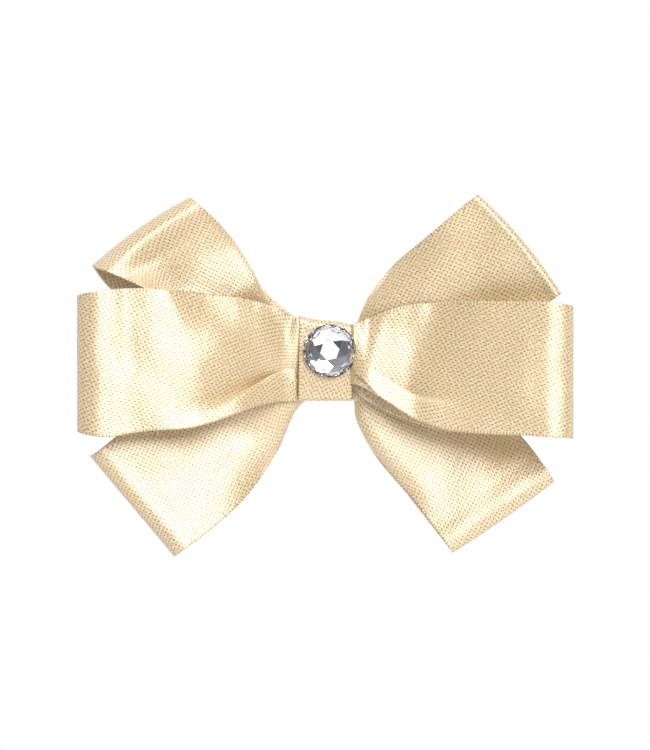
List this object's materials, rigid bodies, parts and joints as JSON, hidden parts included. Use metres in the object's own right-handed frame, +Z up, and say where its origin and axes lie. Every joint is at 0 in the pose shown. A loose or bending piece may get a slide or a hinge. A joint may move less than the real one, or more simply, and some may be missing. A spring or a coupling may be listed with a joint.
{
  "type": "rhinestone hair clip",
  "caption": "Satin ribbon double bow with a wrapped knot and a round crystal, carried on a sprung alligator hair clip.",
  "frame": {"origin": "on the upper jaw's gripping face, behind the middle of the knot", "axes": "+X along the bow to the viewer's right, the bow faces -Y and the hair side is +Y, +Z up as worn"},
  "size_m": [0.0921, 0.0273, 0.068],
  "materials": {
    "satin": "light gold polyester satin ribbon",
    "thread": "light gold sewing thread",
    "glue": "clear hot-melt glue",
    "crystal": "clear cut crystal",
    "foil": "silver foil backing",
    "clip_steel": "nickel-plated pressed steel",
    "pin_steel": "nickel-plated rivet",
    "spring_steel": "bright spring wire"
  },
  "bodies": {
    "bow": {"front_bow_ribbon": "satin", "back_ribbon_rising": "satin", "back_ribbon_falling": "satin", "front_gather_thread": "thread", "back_gather_thread": "thread", "glue_front_to_back": "glue", "glue_bow_to_clip": "glue", "centre_wrap_ribbon": "satin", "rhinestone": "crystal", "rhinestone_foil": "foil", "stone_adhesive": "glue", "clip_lining_ribbon": "satin", "clip_upper_jaw": "clip_steel", "hinge_pin": "pin_steel", "torsion_spring": "spring_steel"},
    "lower_jaw": {"clip_lower_jaw": "clip_steel"}
  },
  "joints": [
    {"name": "jaw_hinge", "type": "hinge", "parent": "bow", "child": "lower_jaw", "pos_m": [0.01, 0.00195, 0], "axis": [0, 0, -1], "range_deg": [0, 28], "stiffness_Nm_per_rad": 0.05, "springref_deg": -57.3, "deforming": ["torsion_spring"]}
  ]
}
